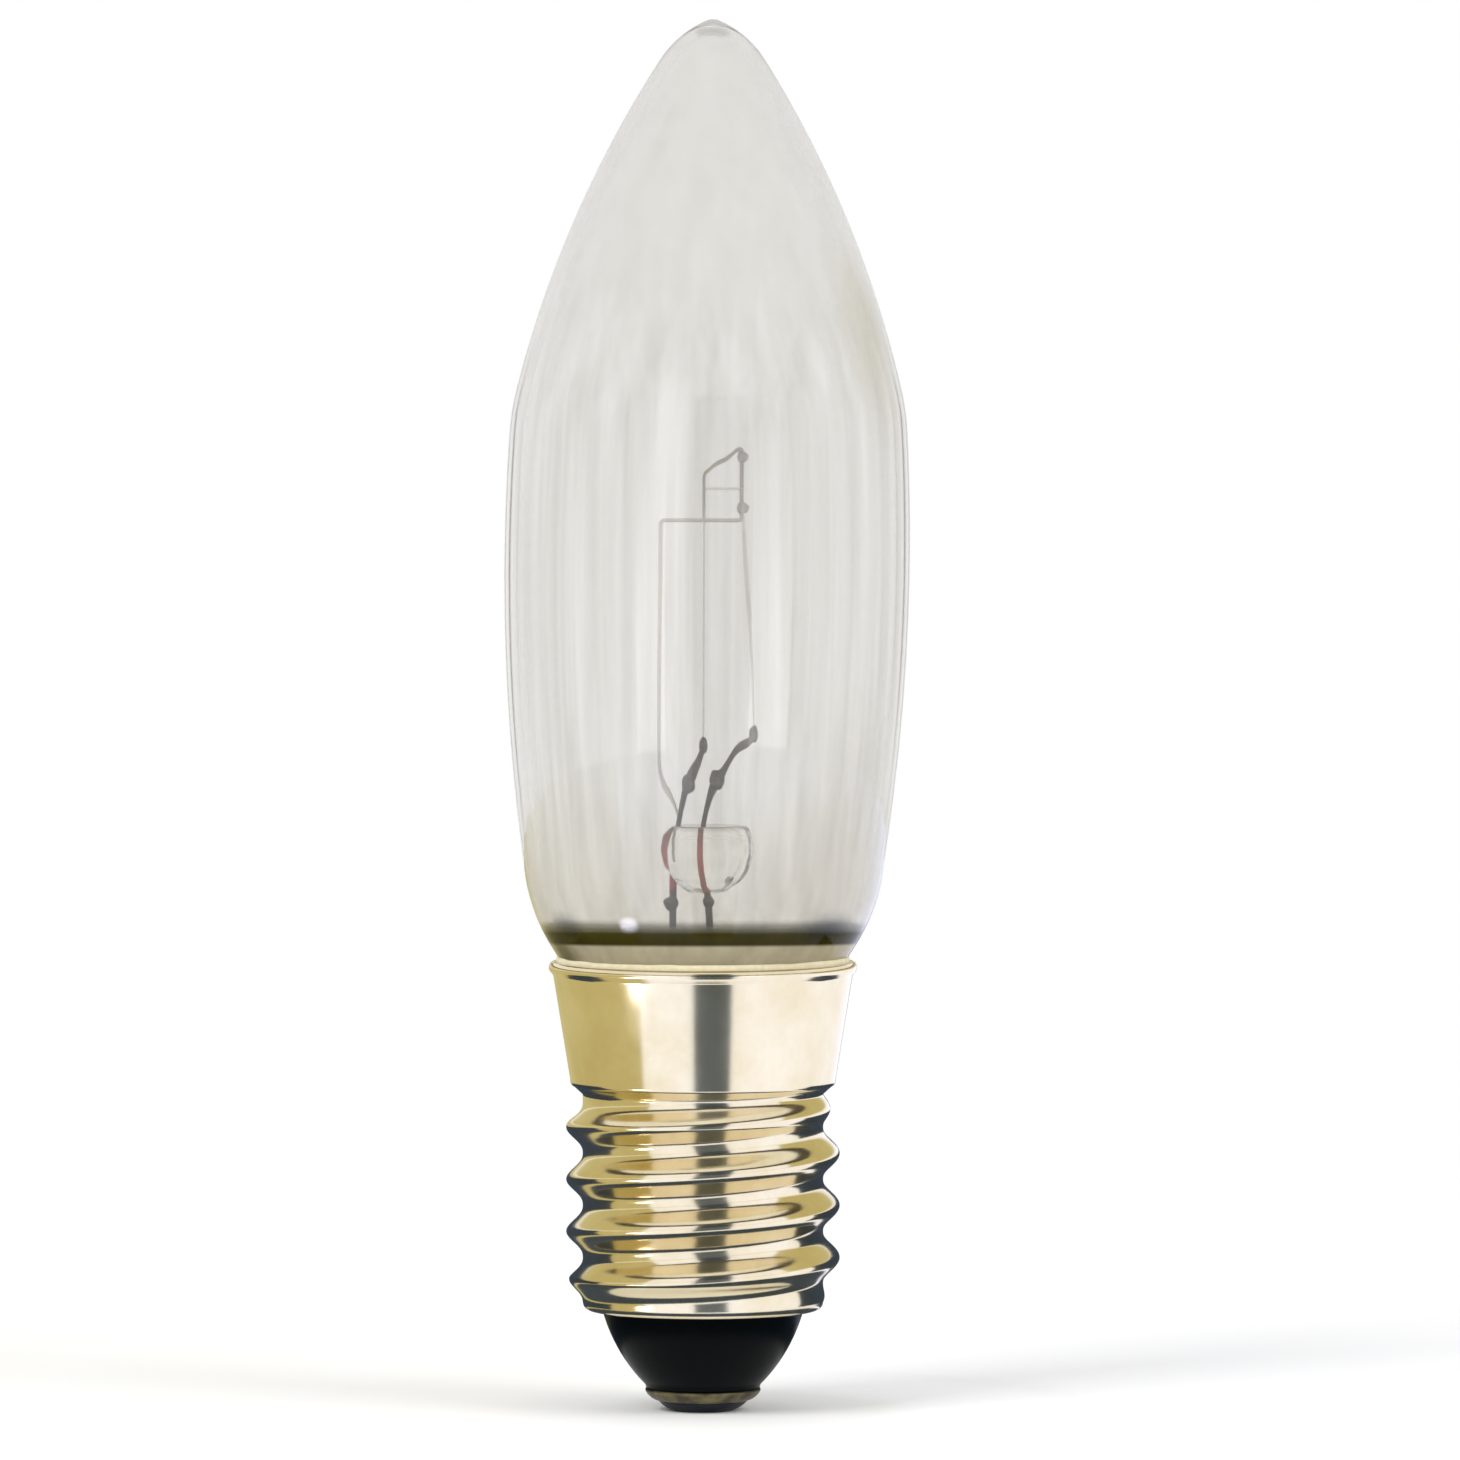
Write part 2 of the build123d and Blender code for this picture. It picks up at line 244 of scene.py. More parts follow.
def buildEnvelope(material):
    g = glass
    crownZ = rimZ + g["heelHeight"] + g["bodyHeight"] + g["crownHeight"]
    dome = arcPoints((g["crownRadius"], crownZ), (0, tipTopZ), g["domeBulge"], g["domeSteps"])[1:]
    # carried on past the axis, so that the tip is rounded too
    over = [Vector((-p.x, p.y)) for p in dome[-2:-5:-1]]
    skin = softened([*glassArcs(0), *dome, *over])[:-len(over)]
    outer = [Vector((0, footZ)), Vector((g["footRadius"] - g["footEdge"], footZ)), *skin]
    innerCrown, innerTip = (g["crownRadius"] - g["wall"], crownZ), (0, tipTopZ - g["wall"])
    innerDome = arcPoints(innerCrown, innerTip, g["innerDomeBulge"], g["innerDomeSteps"])[1:]
    inner = softened([*glassArcs(g["wall"]), *innerDome])
    inner.insert(0, Vector((0, inner[0].y)))
    outer[-1].x = inner[-1].x = 0
    bm = turnedMesh(outer, g["steps"])
    for vert in bm.verts:
        angle = atan2(vert.co.y, vert.co.x)
        wave = 0.5 - 0.5 * cos(g["ribCount"] * angle)
        # moulded ribs are never quite alike
        spot = Vector((cos(angle), sin(angle), vert.co.z / mm / g["ribDrift"])) * g["ribWander"]
        uneven = g["ribMean"] + g["ribSpread"] * noise.noise(spot)
        moveRadially(vert, g["ribHeight"] * ribFade(vert.co.z / mm) * wave * uneven)
    outerFaces = set(bm.faces)
    spinOutline(bm, inner, g["steps"] // 2)
    innerFaces = [face for face in bm.faces if face not in outerFaces]
    bmesh.ops.reverse_faces(bm, faces=innerFaces)
    inside = bm.verts.layers.float.new("inside")
    for face in innerFaces:
        for vert in face.verts:
            vert[inside] = 1.0
    for vert in bm.verts:
        leanGlass(vert)
    makePiece("ribbedEnvelope", bm, material, "envelope")


bead = {
    "outline": ((0, -1.15), (0.65, -1.15), (1.17, -0.8), (1.53, -0.25), (1.66, 0.3), (1.58, 0.8), (1.35, 1.15),
                (0, 1.15)),
    "offset": 0.13, "sides": 9, "softEdge": 0.09, "greyLow": 0.95, "greyHigh": 1.15,
}


def buildBead(material):
    bm = turnedMesh(bead["outline"], bead["sides"])
    bmesh.ops.bevel(bm, geom=bm.edges, affect="EDGES", offset=bead["softEdge"] * mm, segments=2, profile=0.5,
                    material=-1)
    bmesh.ops.translate(bm, verts=bm.verts, vec=Vector((bead["offset"], 0, beadZ)) * mm)
    makePiece("glassBead", bm, material, "bead", smooth=False)


mount = {
    "leadDiameter": 0.25, "supportDiameter": 0.14, "coilDiameter": 0.12, "coilWire": 0.03, "coilPitch": 0.1,
    "leftBead": (-1.05, 0.3), "rightBead": (-0.05, -0.3), "leftKnot": (-0.51, 0.15, 2.55),
    "rightKnot": (0.49, -0.15, 2.75), "leftClamp": (0.0, 0.0, 3.9), "rightClamp": (1.73, 0.0, 4.3),
    "knotSize": (0.38, 0.38, 0.7), "clampSize": (0.4, 0.4, 0.6), "knotUneven": 0.12,
    "leftBlob": (0.5, 0.45, 0.5), "rightBlob": (0.38, 0.36, 0.44), "blobUneven": 0.15,
    "turnDrop": 0.5, "rimAngle": 120, "loopRise": 11.7, "loopReach": 1.4, "loopHeight": 2.5, "loopDepth": 0.75,
    "upperPinch": (0.34, 0.34, 0.4), "lowerPinch": (0.36, 0.36, 0.44), "pinchUneven": 0.1, "archRise": 12.8,
    "coilSides": 6, "coilSteps": 12,
}


def aboveBead(x, y, rise):
    return (x, y, beadZ + rise)


# places along the wire's way out to the rim, from (radius, height) pairs
def towardsRim(*places):
    angle = radians(mount["rimAngle"])
    return [(radius * cos(angle), radius * sin(angle), height) for radius, height in places]


def finishWire(name, bm, material, node):
    bmesh.ops.recalc_face_normals(bm, faces=bm.faces)
    makePiece(name, bm, material, node)


def buildSealWires(material):
    m = mount
    turnZ = footZ - m["turnDrop"]
    lx, ly = m["leftBead"]
    left = bmesh.new()
    drawWire(left, [
        aboveBead(*m["leftKnot"]), aboveBead(lx + 0.24, ly - 0.1, 1.35), aboveBead(lx, ly, 0.5),
        aboveBead(lx, ly, -0.6), (lx, 0.6, footZ + 1.0), (lx, 0.6, turnZ + 0.3), (lx, 0.6, turnZ),
        *towardsRim((3.99, turnZ), (4.75, rimZ - 0.75), (5.45, rimZ - 0.35)),
    ], m["leadDiameter"])
    addLump(left, (lx - 0.05, 0.45, rimZ + 2.05), m["leftBlob"], m["blobUneven"], 31)
    finishWire("sealWireLeft", left, material, "seal_wire_left")
    rx, ry = m["rightBead"]
    right = bmesh.new()
    drawWire(right, [
        aboveBead(*m["rightKnot"]), aboveBead(rx + 0.12, ry + 0.05, 1.5), aboveBead(rx - 0.04, ry, 0.7),
        aboveBead(rx, ry, -0.3), aboveBead(rx + 0.3, ry, -1.3), (0.25, -0.3, footZ + 0.6),
        (0.25, -0.3, footZ - 1.0), (0.0, 0.0, shellZ), (0, 0, 0.3),
    ], m["leadDiameter"])
    addLump(right, (0.2, -0.3, rimZ + 2.15), m["rightBlob"], m["blobUneven"], 33)
    finishWire("sealWireRight", right, material, "seal_wire_right")


def buildInnerLead(material, name, node, knot, clamp, seed):
    m = mount
    kx, ky, kz = knot
    cx, cy, cz = clamp
    bm = bmesh.new()
    drawWire(bm, [
        aboveBead(kx, ky, kz - 0.1), aboveBead(kx + 0.1, ky, kz + 0.3),
        aboveBead(cx - (cx - kx) * 0.35, cy, cz - 0.45), aboveBead(cx, cy, cz - 0.05),
    ], m["leadDiameter"])
    addLump(bm, aboveBead(kx, ky, kz), m["knotSize"], m["knotUneven"], seed)
    addLump(bm, aboveBead(cx, cy, cz + 0.02), m["clampSize"], m["knotUneven"], seed + 5)
    finishWire(name, bm, material, node)


def buildSupport(material):
    m = mount
    z, r, h, y = m["loopRise"], m["loopReach"], m["loopHeight"], m["loopDepth"]
    bm = bmesh.new()
    drawWire(bm, [
        # up the stem
        aboveBead(-0.55, y, 0.0), aboveBead(-0.62, y, 0.9), aboveBead(-1.45, y, 2.7), aboveBead(-1.5, y, 3.9),
        aboveBead(-r, y, z - 0.35), aboveBead(-r, y, z),
        # across and round the square loop
        aboveBead(-r + 0.3, 0.72, z), aboveBead(r - 0.25, 0.4, z), aboveBead(r, 0.38, z),
        aboveBead(r, 0.36, z + 0.25), aboveBead(r, 0.21, z + h - 0.2), aboveBead(r, 0.19, z + h),
        aboveBead(r - 0.3, 0.0, z + h - 0.1), aboveBead(0.3, -0.6, z + h * 0.72), aboveBead(0, -y, z + h * 0.66),
        aboveBead(0, -y, z + h * 0.5), aboveBead(0, -y, z),
    ], m["supportDiameter"])
    # pinched ends of the loop
    addLump(bm, aboveBead(r, 0.22, z + h - 0.3), m["upperPinch"], m["pinchUneven"], 21)
    addLump(bm, aboveBead(r, 0.34, z + 0.42), m["lowerPinch"], m["pinchUneven"], 23)
    finishWire("supportWire", bm, material, "support_wire")


# coil between two points: a small ring screwed along the line
def addCoil(bm, start, end):
    m = mount
    start, end = Vector(start) * mm, Vector(end) * mm
    run = end - start
    turns = int(run.length / (m["coilPitch"] * mm))
    ring = bmesh.ops.create_circle(bm, segments=m["coilSides"], radius=m["coilWire"] / 2 * mm)["verts"]
    bmesh.ops.rotate(bm, verts=ring, cent=(0, 0, 0), matrix=Matrix.Rotation(pi / 2, 3, "X"))
    bmesh.ops.translate(bm, verts=ring, vec=((m["coilDiameter"] - m["coilWire"]) / 2 * mm, 0, 0))
    edges = list({edge for vert in ring for edge in vert.link_edges})
    before = {vert for vert in bm.verts if vert not in ring}
    steps = turns * m["coilSteps"]
    bmesh.ops.spin(bm, geom=ring + edges, cent=(0, 0, 0), axis=(0, 0, 1), angle=2 * pi * turns, steps=steps,
                   dvec=(0, 0, run.length / steps))
    coil = [vert for vert in bm.verts if vert not in before]
    turn = Vector((0, 0, 1)).rotation_difference(run)
    bmesh.ops.rotate(bm, verts=coil, cent=(0, 0, 0), matrix=turn.to_matrix())
    bmesh.ops.translate(bm, verts=coil, vec=start)


def buildFilament(material):
    m = mount
    places = [
        aboveBead(*m["leftClamp"]), aboveBead(0, 0, m["archRise"]), aboveBead(m["loopReach"], 0, m["archRise"]),
        aboveBead(*m["rightClamp"]),
    ]
    bm = bmesh.new()
    for start, end in zip(places, places[1:]):
        addCoil(bm, start, end)
    finishWire("coiledFilament", bm, material, "filament")


cap = {
    "root": 4.175, "crest": 4.75, "pitch": 1.814, "wall": 0.25, "mouth": 3.5, "skirtFoot": 4.6, "skirtRise": 7.9,
    "step": 0.4, "rim": 5.35, "threadFade": 0.9, "crestSharpness": 1.25, "steps": 240, "rows": 150,
    "cornerBulge": 0.07, "footRound": 0.12, "footShift": 0.01, "footBulge": 0.05, "near": 0.01,
    # the rolled lip, as distances inwards and down from the rim
    "lip": ((0.16, 0.5), (0.13, 0.43), (0.02, 0.3), (0, 0.24), (0.005, 0.14), (0.05, 0.04), (0.12, 0), (0.2, 0),
            (0.25, 0.05)),
}


def buildShell(material):
    c = cap
    skirtZ = shellZ + c["skirtRise"]
    stepZ = skirtZ - c["step"]
    low = shellZ + c["wall"]
    bore = c["root"] - c["wall"]
    corner = arcPoints((bore, shellZ), (c["root"], low), c["cornerBulge"], 5)[:-1]
    threadRows = [(c["root"], low + (stepZ - low) * i / c["rows"]) for i in range(c["rows"] + 1)]
    footStart = (c["skirtFoot"] - c["footRound"], skirtZ - c["footRound"])
    footEnd = (c["skirtFoot"] + c["footShift"], skirtZ + c["footRound"])
    foot = arcPoints(footStart, footEnd, c["footBulge"], 5)
    lip = [(c["rim"] - inwards, rimZ - down) for inwards, down in c["lip"]]
    inner = [(c["skirtFoot"] - c["wall"], skirtZ), (bore, stepZ), (bore, low), (c["mouth"], low), (c["mouth"], shellZ)]
    bm = turnedMesh([*corner, *threadRows, *foot, *lip, *inner], c["steps"], closed=True)
    for vert in bm.verts:
        height = vert.co.z / mm
        radius = hypot(vert.co.x, vert.co.y) / mm
        if low - c["near"] < height < stepZ + c["near"] and radius > c["root"] - c["near"]:
            fade = max(0, min(1, (height - low) / c["threadFade"], (stepZ - height) / c["threadFade"]))
            phase = (height - shellZ) / c["pitch"] - atan2(vert.co.y, vert.co.x) / (2 * pi)
            wave = (0.5 + 0.5 * cos(2 * pi * phase)) ** c["crestSharpness"]
            moveRadially(vert, (c["crest"] - c["root"]) * fade * wave)
    makePiece("rolledScrewShell", bm, material, "screw_shell")


nose = {"rise": 0.75, "footRadius": 2.0, "mouth": 3.5, "bulge": 0.2, "depth": 3.25, "shank": 0.6, "plug": 3.92,
        "shellWall": 0.25, "edge": 0.14, "edgeWidth": 0.12, "edgeBulge": 0.04}


def buildNose(material):
    n = nose
    seat, top = shellZ + n["shellWall"], shellZ + n["depth"]
    edge = (n["footRadius"], n["rise"] + n["edge"])
    outline = [
        (n["shank"], n["rise"]),
        *arcPoints((n["footRadius"] - n["edgeWidth"], n["rise"]), edge, n["edgeBulge"], 4),
        *arcPoints(edge, (n["mouth"], shellZ), n["bulge"], 18)[1:],
        (n["mouth"], seat), (n["plug"], seat), (n["plug"], top), (n["shank"], top),
    ]
    makePiece("blackGlassNose", turnedMesh(outline, 160, closed=True), material, "insulator")


contact = {
    "flange": 2.0, "flangeLow": 0.35, "flangeEdge": 0.08, "flangeBulge": 0.05, "seat": 0.75, "shank": 0.6,
    "shankTop": 2.35, "bore": 0.35, "face": 1.05, "faceRing": 0.5, "edge": 1.55, "edgeGap": 0.06, "edgeBulge": 0.06,
    "uneven": 0.05, "ripple": 1.4, "keep": 0.02,
}


def buildContact(eyeletMaterial, solderMaterial):
    c = contact
    eyelet = turnedMesh([
        (c["bore"], c["flangeLow"]),
        *arcPoints((c["edge"] + c["edgeGap"], c["flangeLow"]), (c["flange"], c["seat"] - c["flangeEdge"]),
                   c["flangeBulge"], 6),
        (c["flange"], c["seat"]), (c["shank"], c["seat"]), (c["shank"], c["shankTop"]), (c["bore"], c["shankTop"]),
    ], 128, closed=True)
    makePiece("contactEyelet", eyelet, eyeletMaterial, "contact_eyelet")
    side = arcPoints((c["face"], 0), (c["edge"], c["flangeLow"]), c["edgeBulge"], 10)
    solder = turnedMesh([(0, 0), (c["faceRing"], 0), *side, (0, c["flangeLow"])], 96)
    for vert in solder.verts:
        # the flat face and the top stay as they are
        if c["keep"] < vert.co.z / mm < c["flangeLow"] - c["keep"]:
            moveRadially(vert, c["uneven"] * noise.noise(vert.co / mm * c["ripple"]))
    makePiece("contactSolder", solder, solderMaterial, "contact_solder")


cement = {"depth": 2.6, "lip": 0.2, "outer": 5.1, "glass": 4.9, "taper": 0.75 / 4.2, "inner": 3.2, "waist": 4.4,
          "waistDrop": 1.2, "uneven": 0.05, "ripple": 1.2}


def buildCement(material):
    c = cement
    lowZ = rimZ - c["depth"]
    bm = turnedMesh([
        (c["inner"], lowZ), (c["outer"] - c["taper"] * c["depth"], lowZ), (c["outer"], rimZ),
        (c["outer"] - 0.01, rimZ + c["lip"] * 0.6), (c["outer"] - 0.05, rimZ + c["lip"] * 0.95),
        (c["glass"] + 0.07, rimZ + c["lip"]), (c["glass"] - 0.02, rimZ),
        (c["waist"], rimZ - c["waistDrop"]),
    ], 240, closed=True)
    for vert in bm.verts:
        if vert.co.z / mm > rimZ + 0.05:
            vert.co.z += c["uneven"] * mm * noise.noise(vert.co / mm * c["ripple"])
    makePiece("cappingCement", bm, material, "capping_cement")


rimSolder = {"angle": 120, "size": (0.66, 1.44, 0.96), "radius": 5.2, "drop": 0.3, "uneven": 0.14}


def buildRimSolder(material):
    s = rimSolder
    bm = bmesh.new()
    made = addLump(bm, (0, 0, 0), s["size"], s["uneven"], 11)
    angle = radians(s["angle"])
    place = Vector((s["radius"] * cos(angle), s["radius"] * sin(angle), rimZ - s["drop"])) * mm
    bmesh.ops.rotate(bm, verts=made, cent=(0, 0, 0), matrix=Matrix.Rotation(angle, 3, "Z"))
    bmesh.ops.translate(bm, verts=made, vec=place)
    makePiece("rimSolder", bm, material, "rim_solder")


# soda-lime glass blown in a ribbed mould: clear with a pale grey veil and upright streaks on its outside;
# at the neck it carries a painted reflection of the cap, cream at the rim and olive above it
def clearGlass():
    g = glass
    material, tree, shader, place = startMaterial("sodaLimeGlassBlown", Roughness=0.04, IOR=1.42)
    height = addNode(tree, "ShaderNodeSeparateXYZ", None, {"Vector": place}).outputs["Z"]
    across, upright = 1 / (g["streakWidth"] * mm), 1 / (g["streakLength"] * mm)
    stretch = addNode(tree, "ShaderNodeMapping", {"Scale": (across, across, upright)}, {"Vector": place})
    streak = addNode(tree, "ShaderNodeTexNoise", {"Scale": 1.0, "Detail": 3.0}, {"Vector": stretch.outputs["Vector"]})
    ribbed = addNode(tree, "ShaderNodeMapRange", {
        "From Min": (g["ribEnd"] - 4) * mm, "From Max": (g["ribEnd"] + 1) * mm, "To Min": 1.0, "To Max": 0.25,
    }, {"Value": height})
    level = addNode(tree, "ShaderNodeMapRange", {"From Min": 0.3, "From Max": 0.7}, {"Value": streak.outputs["Fac"]})
    shade = addNode(tree, "ShaderNodeMix", {"data_type": "FLOAT", "A": 0.5},
                    {"Factor": ribbed.outputs["Result"], "B": level.outputs["Result"]})
    veil = addNode(tree, "ShaderNodeValToRGB", {"stops": ((0.0, "#D3D1CC"), (1.0, "#F2F0EC"))},
                   {"Fac": shade.outputs["Result"]})
    # the painted reflection bands at the neck sit a little askew, higher in front
    askew = addNode(tree, "ShaderNodeVectorMath", {"operation": "DOT_PRODUCT", 1: (0, g["bandTilt"], 1)},
                    {0: place}).outputs["Value"]
    neck = addNode(tree, "ShaderNodeMapRange", {"From Min": rimZ * mm, "From Max": (rimZ + g["bandHeight"]) * mm},
                   {"Value": askew})
    # painted reflection of the cap: cream at the rim, olive above it, then fading to clear glass
    bands = addNode(tree, "ShaderNodeValToRGB", {"stops": (
        (0.0, "#BFB79C"), (0.095, "#BFB79C"), (0.111, "#3A350C"), (0.175, "#443F14"), (0.198, "#8A8876"),
        (0.235, "#F0EDE6"), (0.55, "#F8F6F2"), (1.0, "#FFFFFF"))}, {"Fac": neck.outputs["Result"]})
    veilAndReflection = addNode(tree, "ShaderNodeMix", {"data_type": "RGBA", "blend_type": "MULTIPLY", "Factor": 1.0},
                      {"A": veil.outputs["Color"], "B": bands.outputs["Color"]}).outputs["Result"]
    # coloured patches multiplied into the glass at given places; the olive one by the neck is painted reflection
    for tintPatch in g["tintPatches"]:
        x, y, z = tintPatch["place"]
        squash, size = tintPatch["squash"], tintPatch["size"] * mm
        # patches are drawn out along the axis, or flattened
        drawn = addNode(tree, "ShaderNodeMapping", {
            "Location": (-x * mm, -y * mm, -z * mm * squash), "Scale": (1, 1, squash)}, {"Vector": place})
        reach = addNode(tree, "ShaderNodeVectorMath", {"operation": "LENGTH"}, {0: drawn.outputs["Vector"]})
        share = addNode(tree, "ShaderNodeMapRange", {
            "interpolation_type": "SMOOTHSTEP", "From Min": 0.1 * size, "From Max": size,
            "To Min": tintPatch["strength"], "To Max": 0.0}, {"Value": reach.outputs["Value"]})
        veilAndReflection = addNode(tree, "ShaderNodeMix", {
            "data_type": "RGBA", "blend_type": "MULTIPLY", "B": linear(tintPatch["colour"]),
        }, {"Factor": share.outputs["Result"], "A": veilAndReflection}).outputs["Result"]
    inside = addNode(tree, "ShaderNodeAttribute", {"attribute_name": "inside"}).outputs["Fac"]
    colour = addNode(tree, "ShaderNodeMix", {"data_type": "RGBA", "B": (1, 1, 1, 1)}, {"Factor": inside, "A": veilAndReflection})
    # below the top of the painted reflection bands the glass is all but opaque and dull, so that their colour shows
    edge = {"From Min": (rimZ + g["bandTop"]) * mm, "From Max": (rimZ + g["clearFrom"]) * mm}
    clear = addNode(tree, "ShaderNodeMapRange", {**edge, "To Min": 0.12, "To Max": 0.86}, {"Value": askew})
    gloss = addNode(tree, "ShaderNodeMapRange", {**edge, "To Min": 0.05, "To Max": 0.5}, {"Value": askew})
    # the seal at the very tip is clouded
    seal = addNode(tree, "ShaderNodeMapRange", {
        "From Min": (tipTopZ - g["sealLow"]) * mm, "From Max": (tipTopZ - g["sealHigh"]) * mm,
        "To Min": 1.0, "To Max": 0.62}, {"Value": height})
    clouded = addNode(tree, "ShaderNodeMath", {"operation": "MULTIPLY"},
                      {0: clear.outputs["Result"], 1: seal.outputs["Result"]})
    passing = addNode(tree, "ShaderNodeMix", {"data_type": "FLOAT", "B": 1.0},
                      {"Factor": inside, "A": clouded.outputs["Value"]})
    feed(tree, shader, {
        "Base Color": colour.outputs["Result"], "Transmission Weight": passing.outputs["Result"],
        "Specular IOR Level": gloss.outputs["Result"]})
    return material


# lead glass bead, fused over the wires in a flame: clear, softly uneven, and darker grey over its top
def beadGlass():
    material, tree, shader, place = startMaterial(
        "leadGlassFused", Roughness=0.03, IOR=1.36, Transmission_Weight=0.97)
    height = addNode(tree, "ShaderNodeSeparateXYZ", None, {"Vector": place}).outputs["Z"]
    # the bead turns darker grey towards its top
    topGrey = addNode(tree, "ShaderNodeMapRange", {
        "From Min": (beadZ + bead["greyLow"]) * mm, "From Max": (beadZ + bead["greyHigh"]) * mm}, {"Value": height})
    tone = addNode(tree, "ShaderNodeValToRGB", {"stops": ((0.0, "#FFFFFD"), (1.0, "#8E8E88"))},
                   {"Fac": topGrey.outputs["Result"]})
    wave = addNode(tree, "ShaderNodeTexNoise", {"Scale": 1 / (1.2 * mm), "Detail": 1.0}, {"Vector": place})
    bump = addNode(tree, "ShaderNodeBump", {"Strength": 0.2, "Distance": 0.1 * mm}, {"Height": wave.outputs["Fac"]})
    feed(tree, shader, {"Base Color": tone.outputs["Color"], "Normal": bump.outputs["Normal"]})
    return material


# copper-clad wire: coral red where the bead wets it, dark and dull where the flame oxidised it
def copperCladWire():
    material, tree, shader, place = startMaterial("copperCladWireDrawn", Metallic=0.55, Roughness=0.42)
    height = addNode(tree, "ShaderNodeSeparateXYZ", None, {"Vector": place}).outputs["Z"]
    inBead = addNode(tree, "ShaderNodeMapRange", {
        "From Min": (beadZ - 1.3) * mm, "From Max": (beadZ + 1.3) * mm}, {"Value": height})
    tone = addNode(tree, "ShaderNodeValToRGB", {"stops": (
        (0.0, "#4A413B"), (0.06, "#6A2A20"), (0.14, "#C0281A"), (0.6, "#D0442E"), (0.86, "#8A2E22"),
        (1.0, "#3A332E"))}, {"Fac": inBead.outputs["Result"]})
    stain = addNode(tree, "ShaderNodeTexNoise", {"Scale": 1 / (0.4 * mm), "Detail": 3.0}, {"Vector": place})
    mixed = addNode(tree, "ShaderNodeMix", {"data_type": "RGBA", "blend_type": "MULTIPLY", "Factor": 0.35},
                    {"A": tone.outputs["Color"], "B": stain.outputs["Color"]})
    feed(tree, shader, {"Base Color": mixed.outputs["Result"]})
    return material


# molybdenum support: bright grey stem, a shade darker round the loop that held the hot coil
def supportWire():
    material, tree, shader, place = startMaterial("molybdenumWireDrawn", Metallic=0.7, Roughness=0.45)
    height = addNode(tree, "ShaderNodeSeparateXYZ", None, {"Vector": place}).outputs["Z"]
    scorch = addNode(tree, "ShaderNodeMapRange", {
        "From Min": (beadZ + 11.75) * mm, "From Max": (beadZ + 12.2) * mm}, {"Value": height})
    tone = addNode(tree, "ShaderNodeValToRGB", {"stops": ((0.0, "#E4E2DE"), (0.3, "#D2D0CC"), (1.0, "#C4C1BC"))},
                   {"Fac": scorch.outputs["Result"]})
    stain = addNode(tree, "ShaderNodeTexNoise", {"Scale": 1 / (0.5 * mm), "Detail": 4.0}, {"Vector": place})
    mixed = addNode(tree, "ShaderNodeMix", {"data_type": "RGBA", "blend_type": "SOFT_LIGHT", "Factor": 0.6},
                    {"A": tone.outputs["Color"], "B": stain.outputs["Color"]})
    feed(tree, shader, {"Base Color": mixed.outputs["Result"]})
    return material


# thin brass sheet, rolled and bright-dipped: mirror-like with a pale yellow cast and fine handling marks
def rolledBrass():
    material, tree, shader, place = startMaterial("brassSheetRolled", Metallic=1.0)
    tarnish = addNode(tree, "ShaderNodeTexNoise", {"Scale": 1 / (2.5 * mm), "Detail": 5.0, "Roughness": 0.6},
                      {"Vector": place})
    tone = addNode(tree, "ShaderNodeValToRGB", {"stops": ((0.3, "#DFCFA6"), (0.7, "#EEE2C4"))},
                   {"Fac": tarnish.outputs["Fac"]})
    # rubbed spots are a little rougher
    rub = addNode(tree, "ShaderNodeMapRange", {"To Min": 0.1, "To Max": 0.2}, {"Value": tarnish.outputs["Fac"]})
    # drawing lines run round the sheet
    stretch = addNode(tree, "ShaderNodeMapping", {"Scale": (0.05, 0.05, 1.0)}, {"Vector": place})
    lines = addNode(tree, "ShaderNodeTexNoise", {"Scale": 1 / (0.12 * mm), "Detail": 2.0},
                    {"Vector": stretch.outputs["Vector"]})
    bump = addNode(tree, "ShaderNodeBump", {"Strength": 0.05, "Distance": 0.01 * mm}, {"Height": lines.outputs["Fac"]})
    feed(tree, shader, {
        "Base Color": tone.outputs["Color"], "Roughness": rub.outputs["Result"], "Normal": bump.outputs["Normal"]})
    return material


# colour that wanders between two tones over patches of a size in mm, with soft dents of the same pattern
def mottle(made, patch, detail, stops, strength, dent):
    material, tree, shader, place = made
    skin = addNode(tree, "ShaderNodeTexNoise", {"Scale": 1 / (patch * mm), "Detail": detail}, {"Vector": place})
    tone = addNode(tree, "ShaderNodeValToRGB", {"stops": stops}, {"Fac": skin.outputs["Fac"]})
    bump = addNode(tree, "ShaderNodeBump", {"Strength": strength, "Distance": dent * mm},
                   {"Height": skin.outputs["Fac"]})
    feed(tree, shader, {"Base Color": tone.outputs["Color"], "Normal": bump.outputs["Normal"]})
    return material


# drawn or stamped metal with a dull skin; colour wanders along it. On the wires the skin is from heat; the eyelet's
# dark olive is painted shade under the bulb
def dullMetal(name, light, dark, patch, roughness):
    made = startMaterial(name, Metallic=0.8, Roughness=roughness)
    return mottle(made, patch, 4.0, ((0.35, dark), (0.65, light)), 0.3, 0.02)


# black glass pressed hot into the cap: opaque, glossy, with fine pits
def blackGlass():
    made = startMaterial("blackGlassPressed", Roughness=0.3, IOR=1.55, Specular_IOR_Level=0.05)
    return mottle(made, 0.8, 4.0, ((0.0, "#020506"), (1.0, "#060A0C")), 0.15, 0.03)


# tin solder: dull skin with soft ripples; near-black navy on the contact, painted shade under the bulb, and its own
# grey on the rim
def tinSolder(name, dark, light):
    made = startMaterial(name, Metallic=0.7, Roughness=0.45)
    return mottle(made, 0.5, 5.0, ((0.0, dark), (1.0, light)), 0.4, 0.05)


# baked capping cement: cream, matt and grainy
def bakedCement():
    made = startMaterial("cappingCementBaked", Roughness=0.85)
    return mottle(made, 0.25, 6.0, ((0.0, "#D3C69D"), (1.0, "#F2EACF")), 0.5, 0.05)


